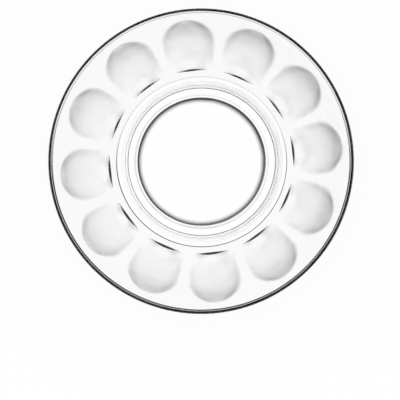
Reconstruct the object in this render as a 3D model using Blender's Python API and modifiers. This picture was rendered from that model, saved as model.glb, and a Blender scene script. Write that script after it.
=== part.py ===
"""A pressed clear-glass tea saucer: one body with a seat ring, a fluted wall and a bearing ring."""

import math

import bmesh
import bpy
from mathutils import Matrix, Vector

# Driving dimensions, in metres
RIM_RADIUS = 0.0550
HEIGHT = 0.0208
RIM_EDGE_HEIGHT = 0.0030  # the upright band round the rim
RIM_UNDER_ROUND = 0.00035
WALL_SLOPE = math.radians(36.5)
WALL_THICKNESS = 0.0032
BASE_EDGE_ROUND = 0.0005
BEARING_RING_INNER = 0.0270
RECESS_DEPTH = 0.0003
RECESS_STEP = 0.0001  # width of the small step up from the bearing ring to the recess
FLOOR_HEIGHT = 0.0041
FLOOR_CORNER_ROUND = 0.0003
SEAT_HEIGHT = 0.0039
SEAT_FLAT_RADIUS = 0.0209
SEAT_EDGE_RADIUS = 0.0233
BEAD_OUTER_RADIUS = 0.02475
BEAD_RISE = 0.00015  # the low bead round the seat, above the floor

FLUTE_COUNT = 12
FLUTE_WIDEST_RADIUS = 0.0445
FLUTE_HALF_WIDTH = 0.0097
FLUTE_LENGTH_UP = 0.0090  # along the wall, from the widest place to the round end
FLUTE_LENGTH_DOWN = 0.0260
FLUTE_DEPTH = 0.0004
FLUTE_FULLNESS = 0.60  # how far the cutter's middle stands off, as a share of its thickness
FLUTE_END_RADIUS = 0.0344  # the flat lower end of a flute, above the base

ROUND_STEPS = 120
RIM_STEPS = 7
COVE_STEPS = 5
BEAD_STEPS = 4
SMALL_ARC_STEPS = 2
MERGE_DISTANCE = 1e-5
CUTTER_SEGMENTS = 28
CUTTER_RINGS = 20
CUTTER_OVERSIZE = 1.02  # faceted cutters are grown so that their flats reach the true surface
SHARP_ANGLE = math.radians(32)

OBJECT_NAME = "tea_saucer"
BODY_NAME = "glass_saucer"


def clear_scene():
    for obj in list(bpy.data.objects):
        bpy.data.objects.remove(obj, do_unlink=True)


def new_collection(name):
    collection = bpy.data.collections.new(name)
    bpy.context.scene.collection.children.link(collection)
    return collection


def arc(middle, radius, start, end, steps):
    """Points on an arc in the profile's plane, with angles in degrees from the outward direction."""
    points = []
    for step in range(steps + 1):
        angle = math.radians(start + (end - start) * step / steps)
        points.append((middle[0] + radius * math.cos(angle), middle[1] + radius * math.sin(angle)))
    return points


def outer_wall(radius):
    """Height of the plain outer cone, which starts under the rim's upright band."""
    return HEIGHT - RIM_EDGE_HEIGHT - (RIM_RADIUS - radius) * math.tan(WALL_SLOPE)


def inner_wall(radius):
    return outer_wall(radius) + WALL_THICKNESS / math.cos(WALL_SLOPE)


def seat_points():
    """The flat seat for a glass, the hollow curve at its edge and the bead that falls to the floor."""
    run = SEAT_EDGE_RADIUS - SEAT_FLAT_RADIUS
    sweep = 2 * math.atan2(FLOOR_HEIGHT + BEAD_RISE - SEAT_HEIGHT, run)
    cove_radius = run / math.sin(sweep)
    middle = (SEAT_FLAT_RADIUS, SEAT_HEIGHT + cove_radius)
    points = [(0.0, SEAT_HEIGHT)]
    points += arc(middle, cove_radius, -90, -90 + math.degrees(sweep), COVE_STEPS)
    for step in range(1, BEAD_STEPS + 1):
        share = step / BEAD_STEPS
        left = (1 + math.cos(math.pi * share)) / 2
        radius = SEAT_EDGE_RADIUS + (BEAD_OUTER_RADIUS - SEAT_EDGE_RADIUS) * share
        points.append((radius, FLOOR_HEIGHT + BEAD_RISE * left))
    return points


def floor_corner_points():
    """The fillet from the flat floor to the inner wall."""
    slope = math.degrees(WALL_SLOPE)
    corner = RIM_RADIUS - (inner_wall(RIM_RADIUS) - FLOOR_HEIGHT) / math.tan(WALL_SLOPE)
    middle = (
        corner - FLOOR_CORNER_ROUND * math.tan(WALL_SLOPE / 2),
        FLOOR_HEIGHT + FLOOR_CORNER_ROUND,
    )
    return arc(middle, FLOOR_CORNER_ROUND, -90, -90 + slope, SMALL_ARC_STEPS)


def rim_points():
    """One round from the inner wall over the crest to the upright band, and the band's lower corner."""
    slope = math.degrees(WALL_SLOPE)
    above = inner_wall(RIM_RADIUS) - HEIGHT
    rim_round = above / (math.tan(WALL_SLOPE) + 1 / math.cos(WALL_SLOPE) - 1)
    crest_middle = (RIM_RADIUS - rim_round, HEIGHT - rim_round)
    lower = outer_wall(RIM_RADIUS) + RIM_UNDER_ROUND * math.tan((math.pi / 2 - WALL_SLOPE) / 2)
    under_middle = (RIM_RADIUS - RIM_UNDER_ROUND, lower)
    points = arc(crest_middle, rim_round, 90 + slope, 0, RIM_STEPS)
    return points + arc(under_middle, RIM_UNDER_ROUND, 0, slope - 90, SMALL_ARC_STEPS)


def base_points():
    """The round under the wall, the flat bearing ring and the shallow recess inside it."""
    slope = math.degrees(WALL_SLOPE)
    corner = RIM_RADIUS - outer_wall(RIM_RADIUS) / math.tan(WALL_SLOPE)
    middle = (corner - BASE_EDGE_ROUND * math.tan(WALL_SLOPE / 2), BASE_EDGE_ROUND)
    points = arc(middle, BASE_EDGE_ROUND, slope - 90, -90, SMALL_ARC_STEPS)
    points.append((BEARING_RING_INNER, 0.0))
    points.append((BEARING_RING_INNER - RECESS_STEP, RECESS_DEPTH))
    return points + [(0.0, RECESS_DEPTH)]


def glass_material():
    material = bpy.data.materials.new("clear_pressed_glass")
    material.use_nodes = True
    shader = material.node_tree.nodes["Principled BSDF"]
    shader.inputs["Base Color"].default_value = (0.92, 0.95, 0.94, 1.0)
    shader.inputs["Metallic"].default_value = 0.0
    shader.inputs["Roughness"].default_value = 0.03
    shader.inputs["IOR"].default_value = 1.52
    shader.inputs["Transmission Weight"].default_value = 1.0
    return material


def turned_body(collection):
    """The plain saucer, turned from its half section."""
    section = seat_points() + floor_corner_points() + rim_points() + base_points()
    mesh = bpy.data.meshes.new(BODY_NAME)
    edges = [(i, i + 1) for i in range(len(section) - 1)]
    mesh.from_pydata([(r, 0.0, z) for r, z in section], edges, [])
    body = bpy.data.objects.new(BODY_NAME, mesh)
    collection.objects.link(body)
    mesh.materials.append(glass_material())
    screw = body.modifiers.new("Turn", "SCREW")
    screw.steps = ROUND_STEPS
    screw.render_steps = ROUND_STEPS
    screw.use_merge_vertices = True
    screw.merge_threshold = MERGE_DISTANCE
    return body


def flute_mesh():
    """An egg-shaped cutter for one flute at +X, cut off flat at its lower end."""
    thickness = FLUTE_DEPTH / (1 - FLUTE_FULLNESS)
    spread = CUTTER_OVERSIZE / math.sqrt(1 - FLUTE_FULLNESS ** 2)
    egg = bmesh.new()
    unit = 1.0
    bmesh.ops.create_uvsphere(
        egg, u_segments=CUTTER_SEGMENTS, v_segments=CUTTER_RINGS, radius=unit
    )
    for vertex in egg.verts:
        along, across, out = vertex.co
        length = FLUTE_LENGTH_UP if along > 0 else FLUTE_LENGTH_DOWN
        vertex.co = (along * length * spread, across * FLUTE_HALF_WIDTH * spread, out * thickness)
    up_wall = Vector((math.cos(WALL_SLOPE), 0.0, math.sin(WALL_SLOPE)))
    outward = Vector((math.sin(WALL_SLOPE), 0.0, -math.cos(WALL_SLOPE)))
    sideways = outward.cross(up_wall)
    turn = Matrix((up_wall, sideways, outward)).transposed().to_4x4()
    on_wall = Vector((FLUTE_WIDEST_RADIUS, 0.0, outer_wall(FLUTE_WIDEST_RADIUS)))
    middle = on_wall + outward * (thickness * FLUTE_FULLNESS)
    egg.transform(Matrix.Translation(middle) @ turn)
    cut = bmesh.ops.bisect_plane(
        egg,
        geom=egg.verts[:] + egg.edges[:] + egg.faces[:],
        plane_co=(FLUTE_END_RADIUS, 0.0, 0.0),
        plane_no=(-1.0, 0.0, 0.0),
        clear_outer=True,
    )
    rim = [item for item in cut["geom_cut"] if isinstance(item, bmesh.types.BMEdge)]
    bmesh.ops.contextual_create(egg, geom=rim)
    bmesh.ops.recalc_face_normals(egg, faces=egg.faces[:])
    mesh = bpy.data.meshes.new("flute")
    egg.to_mesh(mesh)
    egg.free()
    return mesh


def cut_flutes(body, collection):
    """Flutes stand half a pitch off the axes, so that a rib faces each side."""
    mesh = flute_mesh()
    pitch = 2 * math.pi / FLUTE_COUNT
    for index in range(FLUTE_COUNT):
        cutter = bpy.data.objects.new(f"flute_cutter_{index + 1:02d}", mesh)
        cutter.rotation_euler.z = (index + 0.5) * pitch
        cutter.hide_render = True
        cutter.display_type = "WIRE"
        collection.objects.link(cutter)
    flutes = body.modifiers.new("Flutes", "BOOLEAN")
    flutes.operation = "DIFFERENCE"
    flutes.solver = "EXACT"
    flutes.operand_type = "COLLECTION"
    flutes.collection = collection


def main():
    clear_scene()
    parts = new_collection(OBJECT_NAME)
    cutters = new_collection("cutters")
    body = turned_body(parts)
    cut_flutes(body, cutters)
    body.data.shade_smooth()
    body.data.set_sharp_from_angle(angle=SHARP_ANGLE)


main()
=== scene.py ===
import math

import bpy
import numpy as np
from mathutils import Matrix, Vector


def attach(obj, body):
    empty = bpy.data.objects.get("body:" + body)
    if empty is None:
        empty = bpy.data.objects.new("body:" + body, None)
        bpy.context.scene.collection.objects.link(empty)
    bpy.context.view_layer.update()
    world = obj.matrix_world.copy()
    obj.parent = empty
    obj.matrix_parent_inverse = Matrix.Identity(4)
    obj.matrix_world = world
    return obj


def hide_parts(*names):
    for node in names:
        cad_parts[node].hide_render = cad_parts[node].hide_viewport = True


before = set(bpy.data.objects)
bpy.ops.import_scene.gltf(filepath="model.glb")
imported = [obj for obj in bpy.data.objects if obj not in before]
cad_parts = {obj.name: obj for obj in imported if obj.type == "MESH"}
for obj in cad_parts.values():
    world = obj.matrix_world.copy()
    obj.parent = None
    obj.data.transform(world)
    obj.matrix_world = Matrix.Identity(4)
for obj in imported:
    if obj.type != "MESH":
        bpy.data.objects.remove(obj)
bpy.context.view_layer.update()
print("frame loaded:", ", ".join(sorted(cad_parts)))

mm = 0.001


def toLinear(hexColour):
    channels = [int(hexColour[i:i + 2], 16) / 255 for i in (1, 3, 5)]
    linear = [c / 12.92 if c <= 0.04045 else ((c + 0.055) / 1.055) ** 2.4 for c in channels]
    return (*linear, 1.0)


def addNode(tree, kind, inputs=None, **settings):
    node = tree.nodes.new(kind)
    for name, value in settings.items():
        setattr(node, name, value)
    for socket, value in (inputs or {}).items():
        if isinstance(value, bpy.types.NodeSocket):
            tree.links.new(value, node.inputs[socket])
        else:
            node.inputs[socket].default_value = value
    return node


def setStops(ramp, stops):
    # stops are (position, grey) pairs
    elements = ramp.color_ramp.elements
    while len(elements) < len(stops):
        elements.new(1.0)
    for element, (position, grey) in zip(elements, stops):
        element.position = position
        element.color = (grey, grey, grey, 1.0)


def readPoints(piece):
    points = np.empty(len(piece.data.vertices) * 3, np.float32)
    piece.data.vertices.foreach_get("co", points)
    return points.reshape(-1, 3) / mm


def addShare(piece, name, values):
    # a number from 0 to 1 on each point, for the material to read
    share = piece.data.attributes.new(name, "FLOAT", "POINT")
    share.data.foreach_set("value", values.astype(np.float32))


# saucer: sizes in mm, heights from the table
saucer = {
    "rimRadius": 55.0,
    "height": 20.8,
    "rimFace": 3.0,          # upright face, from the rim's top to the corner with the wall
    "rimUnderRound": 0.35,
    "rimFlare": 0.27,        # the outside curls up this much more under the rim
    "flareStart": 52.8,
    "wallSlope": 36.5,       # degrees, inside and outside alike
    "wallThickness": 3.25,
    "floorHeight": 4.16,
    "floorRound": 0.2,
    "seatFlat": 20.8,        # radius of the flat where the glass stands
    "seatCove": 8.5,         # radius of the hollow at the seat's edge
    "seatEdge": 23.3,
    "seatLip": 0.5,          # radius of the round above it
    "beadOuter": 24.95,      # low bead round the seat
    "beadRise": 0.18,
    "baseRound": 0.5,
    "ringFlat": 30.3,        # the bearing ring is flat outside this and crowned inside
    "ringInner": 27.0,
    "ringCrown": 4.6,        # degrees at the inner edge
    "crownPower": 1.5,       # how late the crown rises, from the flat to the inner edge
    "ringGrooves": ((27.75, 0.018), (29.2, 0.008)),  # fine turned lines: radius and depth
    "grooveHalf": 0.16,
    "grainWidth": 1.5,       # of full stipple outside the ring's inner edge
    "recess": 0.25,
    "recessStep": 0.26,
    "stepCurve": ((0.2, 0.08), (0.8, 0.92), (1.0, 1.0)),    # shares of the step's run and rise
    "supportGap": 0.15,      # close loops that keep flats flat under smooth shading
    "hair": 0.01,            # tells points on one face from those on the next
    "mergeDistance": 0.005,
    "roundSteps": 576,
    "coveSteps": 10,
    "lipSteps": 4,
    "beadSteps": 8,
    "floorSteps": 6,
    "rimSteps": 12,
    "cornerSteps": 5,
    "crownRows": 11,
    "grooveRows": 9,
    "grooveClear": 1.2,      # crown rows stay this many half widths off a groove
    # rows down the outside, close where a flute ends and at its round tip: from, down to, apart
    "wallRows": ((54.6, 52.5, 0.2), (52.4, 49.0, 0.3), (48.9, 37.0, 0.7), (36.6, 35.3, 0.3),
                 (35.2, 34.55, 0.1), (34.5, 33.88, 0.05), (33.8, 33.55, 0.1), (33.4, 32.1, 0.4)),
}


def plainWall(r):
    slope = math.tan(math.radians(saucer["wallSlope"]))
    return saucer["height"] - saucer["rimFace"] - (saucer["rimRadius"] - r) * slope


def outerWall(r):
    start = saucer["flareStart"]
    share = np.clip((r - start) / (saucer["rimRadius"] - start), 0, 1)
    return plainWall(r) + saucer["rimFlare"] * share ** 2


def innerWall(r):
    return plainWall(r) + saucer["wallThickness"] / math.cos(math.radians(saucer["wallSlope"]))


# the profile is drawn on the XZ plane with one vertex that is extruded and spun along
pen = {"at": (0.0, 0.0)}


def lineTo(r, z):
    step = ((r - pen["at"][0]) * mm, 0, (z - pen["at"][1]) * mm)
    bpy.ops.mesh.extrude_region_move(TRANSFORM_OT_translate={"value": step})
    pen["at"] = (r, z)


def arcTo(centre, degrees, steps):
    # anticlockwise is positive, seen with +X to the right and +Z up
    bpy.ops.mesh.spin(steps=steps, angle=math.radians(degrees), axis=(0, 1, 0),
                      center=(centre[0] * mm, 0, centre[1] * mm))
    turn = math.radians(degrees)
    dr, dz = pen["at"][0] - centre[0], pen["at"][1] - centre[1]
    pen["at"] = (centre[0] + dr * math.cos(turn) - dz * math.sin(turn),
                 centre[1] + dr * math.sin(turn) + dz * math.cos(turn))


def wallRows():
    return [float(r) for top, low, apart in saucer["wallRows"] for r in np.arange(top, low, -apart)]


def ringRows():
    # wide rows over the crown, close ones in the grooves
    half = saucer["grooveHalf"]
    middles = [middle for middle, depth in saucer["ringGrooves"]]
    crown = np.linspace(saucer["ringFlat"], saucer["ringInner"], saucer["crownRows"])[1:]
    clear = saucer["grooveClear"] * half
    rows = [r for r in crown if all(abs(r - middle) > clear for middle in middles)]
    for middle in middles:
        rows += list(np.linspace(middle - half, middle + half, saucer["grooveRows"]))
    return [float(r) for r in sorted(rows, reverse=True)]


def drawProfile():
    s = saucer
    slope = s["wallSlope"]
    lean = math.radians(slope)
    gap = s["supportGap"]
    along = (gap * math.cos(lean), gap * math.sin(lean))

    # seat: flat, cove, lip and low bead
    sweep = math.degrees(math.asin((s["seatEdge"] - s["seatFlat"]) / s["seatCove"]))
    coveRise = s["seatCove"] * (1 - math.cos(math.radians(sweep)))
    lipRise = s["seatLip"] * (1 - math.cos(math.radians(sweep)))
    lipEnd = s["seatEdge"] + s["seatLip"] * math.sin(math.radians(sweep))
    beadRun = s["beadOuter"] - lipEnd
    seatHeight = s["floorHeight"] + s["beadRise"] - lipRise - coveRise
    bpy.ops.transform.translate(value=(0, 0, seatHeight * mm))
    pen["at"] = (0.0, seatHeight)
    lineTo(s["seatFlat"] - 2 * gap, seatHeight)
    lineTo(s["seatFlat"], seatHeight)
    arcTo((s["seatFlat"], seatHeight + s["seatCove"]), sweep, s["coveSteps"])
    arcTo((lipEnd, seatHeight + coveRise + lipRise - s["seatLip"]), -sweep, s["lipSteps"])
    beadTop = pen["at"][1]
    for i in range(s["beadSteps"]):
        u = (i + 1) / s["beadSteps"]
        lineTo(lipEnd + beadRun * u, beadTop - s["beadRise"] * (1 - math.cos(math.pi * u)) / 2)

    # floor, rounded into the inner wall
    corner = s["rimRadius"] - (innerWall(s["rimRadius"]) - s["floorHeight"]) / math.tan(lean)
    roundStart = corner - s["floorRound"] * math.tan(lean / 2)
    lineTo(pen["at"][0] + gap, s["floorHeight"])
    lineTo(roundStart - gap, s["floorHeight"])
    lineTo(roundStart, s["floorHeight"])
    arcTo((roundStart, s["floorHeight"] + s["floorRound"]), slope, s["floorSteps"])
    lineTo(pen["at"][0] + along[0], pen["at"][1] + along[1])

    # rim: one round from the inner wall to the upright face
    rimRound = ((innerWall(s["rimRadius"]) - s["height"])
                / (math.tan(lean) + 1 / math.cos(lean) - 1))
    rimCentre = (s["rimRadius"] - rimRound, s["height"] - rimRound)
    start = (rimCentre[0] - rimRound * math.sin(lean), rimCentre[1] + rimRound * math.cos(lean))
    lineTo(start[0] - along[0], start[1] - along[1])
    lineTo(*start)
    arcTo(rimCentre, -(90 + slope), s["rimSteps"])
    under = s["rimUnderRound"]
    flareSlope = 2 * s["rimFlare"] / (s["rimRadius"] - s["flareStart"])
    flared = math.degrees(math.atan(math.tan(lean) + flareSlope))
    underHeight = outerWall(s["rimRadius"]) + under * math.tan(math.radians(90 - flared) / 2)
    lineTo(s["rimRadius"], underHeight + gap)
    lineTo(s["rimRadius"], underHeight)
    arcTo((s["rimRadius"] - under, underHeight), -(90 - flared), s["cornerSteps"])

    # outer wall, then the round onto the base
    for r in wallRows():
        lineTo(r, outerWall(r))
    baseCorner = s["rimRadius"] - plainWall(s["rimRadius"]) / math.tan(lean)
    flatEnd = baseCorner - s["baseRound"] * math.tan(lean / 2)
    baseCentre = (flatEnd, s["baseRound"])
    start = (flatEnd + s["baseRound"] * math.sin(lean), s["baseRound"] * (1 - math.cos(lean)))
    lineTo(start[0] + along[0], start[1] + along[1])
    lineTo(*start)
    arcTo(baseCentre, -slope, s["cornerSteps"])

    # bearing ring, crowned inwards and finely grooved, with a small step up to the recess
    lineTo(s["ringFlat"], 0.0)
    crownRun = s["ringFlat"] - s["ringInner"]
    crownRise = crownRun * math.tan(math.radians(s["ringCrown"])) / s["crownPower"]
    for r in ringRows():
        z = crownRise * ((s["ringFlat"] - r) / crownRun) ** s["crownPower"]
        for middle, depth in s["ringGrooves"]:
            z += depth * (1 + math.cos(math.pi * min(abs(r - middle) / s["grooveHalf"], 1))) / 2
        lineTo(r, z)
    for share, lift in s["stepCurve"]:
        lineTo(s["ringInner"] - s["recessStep"] * share,
               crownRise + (s["recess"] - crownRise) * lift)
    lineTo(s["ringInner"] - s["recessStep"] - gap, s["recess"])
    lineTo(0.0, s["recess"])


# twelve shallow flutes pressed into the outside of the wall
flute = {
    "count": 12,
    "widestRadius": 44.5,
    "halfWidth": 9.7,
    "lengthUp": 7.3,
    "tipPower": 1.64,
    "tipLeast": 1e-6,            # keeps the width above zero at the very tip
    "taper": 0.2,                # narrowing of each half per mm below the widest place
    "taperSoft": 3.3,
    "depth": 0.42,
    "tipFall": 2.07,
    "lowFall": (-0.16, 0.5),     # shares of the depth lost over lowRun down the wall
    "lowRun": 10.0,
    "hollow": (2.5, 3.7),        # power across, low and at the tip: 2 is round, more has a flat middle
    "hollowSpan": (-8.0, 6.0),   # from the widest place, where that power changes
    "edgeSoft": 0.063,
    "edgeTrim": 0.12,            # share of the soft edge that is cut off
    "runOut": 0.12,              # slope by which the sides fade out at the low end
    "heel": 0.34,                # added depth in the middle of the low end, less to each side
    "heelHalf": 6.8,
    "heelRise": (43.0, 34.5),    # radii between which it grows
    "endRadius": 33.97,          # a short steep end stops the flute above the foot
    "endSlope": (0.49, 0.46, 0.9, 2.0),      # from the middle to each side
    "endHalf": (0.0, 4.0, 4.6, 5.2),
    "endSoft": 0.03,
    "haze": ((34.5, 0.1), (37.5, 0.5), (43.5, 0.87), (50.0, 1.0)),   # share of the full haze by radius
    "hazeDepth": 0.15,           # depth at which it is full
    "onWall": 0.02,              # points this close to the wall's outside are pressed
}


def lesser(a, b, soft):
    # the smaller of two depths, with the change between them rounded
    return (a + b - np.sqrt((a - b) ** 2 + soft ** 2)) / 2


def fluteDepth(x, y):
    # depth pressed into the wall, in mm, at x outwards along the flute's middle and y across it
    f = flute
    past = x - f["widestRadius"]
    up = np.clip(past / f["lengthUp"], 0, 1)
    low = np.maximum(-past, 0)
    fall = np.sqrt(low ** 2 + f["taperSoft"] ** 2) - f["taperSoft"]
    tipWidth = np.sqrt(np.maximum(1 - up ** f["tipPower"], f["tipLeast"]))
    half = np.where(past > 0, f["halfWidth"] * tipWidth, f["halfWidth"] - f["taper"] * fall)
    first, second = f["lowFall"]
    run = low / f["lowRun"]
    middle = f["depth"] * np.where(past > 0, 1 - up ** f["tipFall"],
                                   1 - first * run - second * run ** 2)
    power = np.interp(past, f["hollowSpan"], f["hollow"])
    across = middle * (1 - np.abs(y / half) ** power)
    beyondTip = -1.0
    across = np.where(past > f["lengthUp"], beyondTip, across)
    soft = f["edgeSoft"]
    depth = np.maximum((across + np.sqrt(across ** 2 + soft ** 2)) / 2 - f["edgeTrim"] * soft, 0)
    heelTop, heelLow = f["heelRise"]
    rise = np.clip((x - heelTop) / (heelLow - heelTop), 0, 1)
    heel = f["heel"] * (1 + np.cos(np.pi * np.clip(y / f["heelHalf"], -1, 1))) / 2
    depth = lesser(depth, f["runOut"] * (x - f["endRadius"]), f["endSoft"])
    depth = depth + heel * rise * rise * (3 - 2 * rise)
    steep = np.interp(np.abs(y), f["endHalf"], f["endSlope"])
    return np.maximum(lesser(depth, steep * (x - f["endRadius"]), f["endSoft"]), 0)


def pressFlutes(piece):
    points = readPoints(piece)
    radius = np.hypot(points[:, 0], points[:, 1])
    pitch = 2 * math.pi / flute["count"]
    angle = np.arctan2(points[:, 1], points[:, 0]) % pitch - pitch / 2
    onWall = np.abs(points[:, 2] - outerWall(radius)) < flute["onWall"]
    depth = np.zeros(len(points))
    depth[onWall] = fluteDepth(radius[onWall] * np.cos(angle[onWall]),
                               radius[onWall] * np.sin(angle[onWall]))
    deepest = float(depth.max())
    group = piece.vertex_groups.new(name="flutes")
    for index in np.nonzero(depth > 0)[0]:
        group.add([int(index)], float(depth[index] / deepest), "REPLACE")
    press = piece.modifiers.new("pressFlutes", "DISPLACE")
    press.vertex_group = group.name
    press.direction = "NORMAL"
    press.mid_level = 0.0
    press.strength = -deepest * mm
    bpy.ops.object.modifier_apply(modifier=press.name)
    haze = np.interp(radius, *zip(*flute["haze"]))
    addShare(piece, "fluteHaze", haze * np.clip(depth / flute["hazeDepth"], 0, 1))
    print("flutes pressed:", flute["count"], "deepest", round(deepest, 2), "mm")


def markRing(piece):
    # the stipple is full over the bearing ring's inner part and fades outwards
    points = readPoints(piece)
    radius = np.hypot(points[:, 0], points[:, 1])
    inner, outer, hair = saucer["ringInner"], saucer["ringFlat"], saucer["hair"]
    fade = np.interp(radius, (inner - hair, inner, inner + saucer["grainWidth"], outer), (0, 1, 1, 0))
    under = points[:, 2] < saucer["recess"] - hair
    addShare(piece, "ringGrain", fade * under)


def makeSaucer():
    # one flute's share of the turn is spun and then set out around the axis
    pitch = 2 * math.pi / flute["count"]
    bpy.ops.object.select_all(action="DESELECT")
    bpy.ops.object.empty_add(rotation=(0, 0, pitch))
    turn = bpy.context.object
    bpy.ops.object.select_all(action="DESELECT")
    bpy.ops.mesh.primitive_plane_add(size=mm)
    piece = bpy.context.object
    piece.name = "pressedGlassSaucer"
    bpy.ops.object.mode_set(mode="EDIT")
    bpy.ops.mesh.select_all(action="SELECT")
    bpy.ops.mesh.merge(type="CENTER")
    drawProfile()
    bpy.ops.mesh.select_all(action="SELECT")
    bpy.ops.mesh.spin(steps=saucer["roundSteps"] // flute["count"], angle=pitch,
                      center=(0, 0, 0), axis=(0, 0, 1))
    bpy.ops.object.mode_set(mode="OBJECT")
    around = piece.modifiers.new("roundTheAxis", "ARRAY")
    around.count = flute["count"]
    around.use_relative_offset = False
    around.use_object_offset = True
    around.offset_object = turn
    bpy.ops.object.modifier_apply(modifier=around.name)
    bpy.data.objects.remove(turn)
    bpy.ops.object.mode_set(mode="EDIT")
    bpy.ops.mesh.select_all(action="SELECT")
    bpy.ops.mesh.remove_doubles(threshold=saucer["mergeDistance"] * mm)
    bpy.ops.mesh.normals_make_consistent(inside=False)
    bpy.ops.object.mode_set(mode="OBJECT")
    pressFlutes(piece)
    markRing(piece)
    bpy.ops.object.shade_smooth()
    print("saucer turned:", len(piece.data.vertices), "points,", len(piece.data.polygons), "faces")
    return piece


glassFinish = {
    "ior": 1.52,
    "waveLength": 6.0,       # mm, slow ripple left by fire polishing
    "waveDepth": 0.06,
    "waveDetail": 1.0,
    "grainSize": 0.5,        # mm, stipple of the mould under the bearing ring
    "grainDepth": 0.05,
    "grainDetail": 2.0,
    "fluteHaze": 0.225,      # roughness where the haze is full
    "colour": "#ffffff",
    "tint": "#eef4f0",
    "tintDensity": 10.0,     # per metre
}


def makePressedGlass():
    # pressed soda-lime glass, fire-polished: clear, with a trace of green in long paths
    material = bpy.data.materials.new("pressedSodaLimeGlass")
    material.use_nodes = True
    tree = material.node_tree
    tree.nodes.clear()
    output = addNode(tree, "ShaderNodeOutputMaterial")
    share = addNode(tree, "ShaderNodeAttribute", attribute_name="fluteHaze")
    haze = addNode(tree, "ShaderNodeMath", {
        0: share.outputs["Fac"], 1: glassFinish["fluteHaze"]}, operation="MULTIPLY")
    place = addNode(tree, "ShaderNodeTexCoord")
    ripple = addNode(tree, "ShaderNodeTexNoise", {
        "Vector": place.outputs["Object"], "Scale": 1 / (glassFinish["waveLength"] * mm),
        "Detail": glassFinish["waveDetail"]})
    wavy = addNode(tree, "ShaderNodeBump", {
        "Height": ripple.outputs["Fac"], "Distance": glassFinish["waveDepth"] * mm})
    grain = addNode(tree, "ShaderNodeTexNoise", {
        "Vector": place.outputs["Object"], "Scale": 1 / (glassFinish["grainSize"] * mm),
        "Detail": glassFinish["grainDetail"]})
    ring = addNode(tree, "ShaderNodeAttribute", attribute_name="ringGrain")
    stippled = addNode(tree, "ShaderNodeBump", {
        "Strength": ring.outputs["Fac"], "Height": grain.outputs["Fac"],
        "Distance": glassFinish["grainDepth"] * mm, "Normal": wavy.outputs["Normal"]})
    glass = addNode(tree, "ShaderNodeBsdfPrincipled", {
        "Base Color": toLinear(glassFinish["colour"]), "Roughness": haze.outputs["Value"],
        "IOR": glassFinish["ior"], "Transmission Weight": 1.0, "Normal": stippled.outputs["Normal"]})
    tint = addNode(tree, "ShaderNodeVolumeAbsorption", {
        "Color": toLinear(glassFinish["tint"]), "Density": glassFinish["tintDensity"]})
    tree.links.new(glass.outputs["BSDF"], output.inputs["Surface"])
    tree.links.new(tint.outputs["Volume"], output.inputs["Volume"])
    return material


saucerPiece = makeSaucer()
saucerPiece.data.materials.append(makePressedGlass())
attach(saucerPiece, "root")
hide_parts("glass_saucer")


studio = {
    "floorDrop": 0.1,            # mm under the foot, so the two faces don't fight
    "floorColour": "#f6f6f5",
    "floorSize": 6.0,            # m
    "floorSides": 96,
    "glowColour": "#ffffff",
    "floorGlow": (0.93, 1.0),    # share of plain white seen by the camera, near and far
    "floorGlowReach": (0.08, 0.5),   # m from the axis
    "roomLight": 0.85,           # even light that the room gives to matte things
    "lampPower": 6.5,
    "lampSize": 1.5,             # m
    "lampPlace": (-0.25, 0.2, 1.6),
    "belowAxis": (-0.023, 0.005, -1.0),  # middle of the white patch under the glass
    # brightness by degrees away from that axis, as glass over a lit table shows it
    "below": ((0.0, 1.0), (2.4, 1.0), (3.0, 0.965), (4.0, 0.83), (5.0, 0.67), (6.5, 0.4), (8.0, 0.06),
              (10.0, 0.02), (18.0, 0.02)),
    "side": ((0.0, 0.0), (8.5, 0.0), (11.5, 1.0), (30.0, 1.0), (42.0, 0.0)),  # wider, on one side
    "sideToward": (0.17, -0.98, 0.0),
    "sideFade": (-0.05, 0.12),
    # brightness of the room by degrees above the horizon
    "around": ((-90.0, 0.02), (-68.0, 0.02), (-60.0, 0.62), (-48.0, 0.88), (-30.0, 1.0), (17.0, 1.0),
               (32.0, 0.12), (90.0, 0.06)),
    "guided": 0.06,              # share kept by light that ran along inside the wall
}


def makeFloor():
    bpy.ops.object.select_all(action="DESELECT")
    bpy.ops.mesh.primitive_circle_add(vertices=studio["floorSides"], radius=studio["floorSize"] / 2,
                                      fill_type="NGON", location=(0, 0, -studio["floorDrop"] * mm))
    floor = bpy.context.object
    floor.name = "floor"
    # matte white card, lit so that the camera sees it nearly white
    material = bpy.data.materials.new("matteWhiteFloor")
    material.use_nodes = True
    tree = material.node_tree
    tree.nodes.clear()
    output = addNode(tree, "ShaderNodeOutputMaterial")
    path = addNode(tree, "ShaderNodeLightPath")
    place = addNode(tree, "ShaderNodeTexCoord")
    away = addNode(tree, "ShaderNodeVectorMath", {0: place.outputs["Object"]}, operation="LENGTH")
    near, far = studio["floorGlowReach"]
    low, high = studio["floorGlow"]
    glow = addNode(tree, "ShaderNodeMapRange", {
        "Value": away.outputs["Value"], "From Min": near, "From Max": far,
        "To Min": low, "To Max": high}, interpolation_type="SMOOTHSTEP")
    seen = addNode(tree, "ShaderNodeMath", {
        0: glow.outputs["Result"], 1: path.outputs["Is Camera Ray"]}, operation="MULTIPLY")
    matte = addNode(tree, "ShaderNodeBsdfDiffuse", {"Color": toLinear(studio["floorColour"])})
    white = addNode(tree, "ShaderNodeEmission", {"Color": toLinear(studio["glowColour"])})
    lit = addNode(tree, "ShaderNodeMixShader", {
        0: seen.outputs["Value"], 1: matte.outputs["BSDF"], 2: white.outputs["Emission"]})
    clear = addNode(tree, "ShaderNodeBsdfTransparent")   # through the glass the lit table shows
    mixed = addNode(tree, "ShaderNodeMixShader", {
        0: path.outputs["Is Transmission Ray"], 1: lit.outputs["Shader"], 2: clear.outputs["BSDF"]})
    tree.links.new(mixed.outputs["Shader"], output.inputs["Surface"])
    floor.data.materials.append(material)


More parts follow.
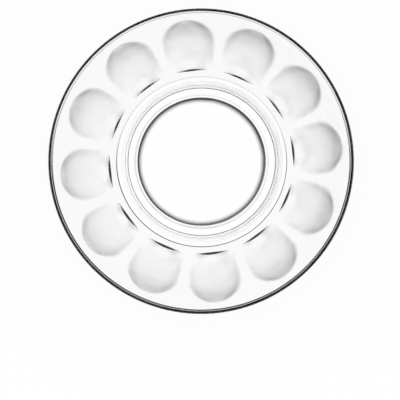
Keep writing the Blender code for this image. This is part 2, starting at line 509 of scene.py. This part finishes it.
def makeRoom():
    world = bpy.data.worlds.new("studioRoom")
    bpy.context.scene.world = world
    world.use_nodes = True
    tree = world.node_tree
    tree.nodes.clear()
    output = addNode(tree, "ShaderNodeOutputWorld")
    path = addNode(tree, "ShaderNodeLightPath")
    place = addNode(tree, "ShaderNodeTexCoord")
    along = addNode(tree, "ShaderNodeVectorMath", {
        0: place.outputs["Generated"], 1: Vector(studio["belowAxis"]).normalized()},
        operation="DOT_PRODUCT")
    turn = addNode(tree, "ShaderNodeMath", {0: along.outputs["Value"]}, operation="ARCCOSINE")
    patches = []
    for stops in ("below", "side"):
        reach = studio[stops][-1][0]
        share = addNode(tree, "ShaderNodeMath", {
            0: turn.outputs["Value"], 1: math.radians(reach)}, operation="DIVIDE")
        patch = addNode(tree, "ShaderNodeValToRGB", {"Fac": share.outputs["Value"]})
        setStops(patch, [(degrees / reach, grey) for degrees, grey in studio[stops]])
        patches.append(patch)
    lean = addNode(tree, "ShaderNodeVectorMath", {
        0: place.outputs["Generated"], 1: studio["sideToward"]}, operation="DOT_PRODUCT")
    fadeStart, fadeEnd = studio["sideFade"]
    fade = addNode(tree, "ShaderNodeMapRange", {
        "Value": lean.outputs["Value"], "From Min": fadeStart, "From Max": fadeEnd})
    oneSide = addNode(tree, "ShaderNodeMath", {
        0: patches[1].outputs["Color"], 1: fade.outputs["Result"]}, operation="MULTIPLY")
    height = addNode(tree, "ShaderNodeSeparateXYZ", {"Vector": place.outputs["Generated"]})
    rise = addNode(tree, "ShaderNodeMath", {0: height.outputs["Z"]}, operation="ARCSINE")
    down, up = studio["around"][0][0], studio["around"][-1][0]
    level = addNode(tree, "ShaderNodeMapRange", {
        "Value": rise.outputs["Value"], "From Min": math.radians(down), "From Max": math.radians(up)})
    around = addNode(tree, "ShaderNodeValToRGB", {"Fac": level.outputs["Result"]})
    setStops(around, [((degrees - down) / (up - down), grey) for degrees, grey in studio["around"]])
    low = addNode(tree, "ShaderNodeMath", {
        0: patches[0].outputs["Color"], 1: oneSide.outputs["Value"]}, operation="MAXIMUM")
    both = addNode(tree, "ShaderNodeMath", {
        0: low.outputs["Value"], 1: around.outputs["Color"]}, operation="MAXIMUM")
    inside = addNode(tree, "ShaderNodeMath", {
        0: path.outputs["Glossy Depth"], 1: path.outputs["Transmission Depth"]}, operation="MULTIPLY")
    guided = addNode(tree, "ShaderNodeMapRange", {
        "Value": inside.outputs["Value"], "To Min": 1.0, "To Max": studio["guided"]})
    seen = addNode(tree, "ShaderNodeMath", {
        0: both.outputs["Value"], 1: guided.outputs["Result"]}, operation="MULTIPLY")
    matte = addNode(tree, "ShaderNodeMix", {
        "Factor": path.outputs["Is Diffuse Ray"], "A": seen.outputs["Value"], "B": studio["roomLight"]})
    shown = addNode(tree, "ShaderNodeMath", {
        0: matte.outputs["Result"], 1: path.outputs["Is Camera Ray"]}, operation="MAXIMUM")
    room = addNode(tree, "ShaderNodeBackground", {"Color": shown.outputs["Value"]})
    tree.links.new(room.outputs["Background"], output.inputs["Surface"])


def hangSoftbox():
    lamp = bpy.data.lights.new("softbox", "AREA")
    lamp.shape = "SQUARE"
    lamp.size = studio["lampSize"]
    lamp.energy = studio["lampPower"]
    softbox = bpy.data.objects.new("softbox", lamp)
    bpy.context.scene.collection.objects.link(softbox)
    softbox.location = studio["lampPlace"]
    softbox.rotation_euler = (-softbox.location).to_track_quat("-Z", "Y").to_euler()


makeFloor()
makeRoom()
hangSoftbox()
print("studio lit")


view = {
    "distance": 1.3,         # m
    "lean": 1.1,             # degrees off straight down
    "leanToward": -34.0,     # side that the camera stands over, from +X
    "upToward": 98.6,        # side that is up in the picture
    "lookHeight": 19.5,      # mm, just under the rim
    "rimShare": 0.76425,     # rim's width as a share of the frame
    "shift": (-0.0025, -0.0972),
}


def placeCamera():
    data = bpy.data.cameras.new("camera")
    camera = bpy.data.objects.new("camera", data)
    bpy.context.scene.collection.objects.link(camera)
    halfFrame = saucer["rimRadius"] * mm / view["rimShare"]
    data.angle = 2 * math.atan(halfFrame / view["distance"])
    data.shift_x, data.shift_y = view["shift"]
    target = Vector((0, 0, view["lookHeight"] * mm))
    lean, side, top = (math.radians(view[key]) for key in ("lean", "leanToward", "upToward"))
    back = Vector((math.sin(lean) * math.cos(side), math.sin(lean) * math.sin(side), math.cos(lean)))
    camera.location = target + back * view["distance"]
    right = Vector((math.cos(top), math.sin(top), 0)).cross(back).normalized()
    camera.rotation_euler = Matrix((right, back.cross(right), back)).transposed().to_euler()
    bpy.context.scene.camera = camera


placeCamera()
bpy.context.scene.view_settings.view_transform = "Standard"
print("camera placed")
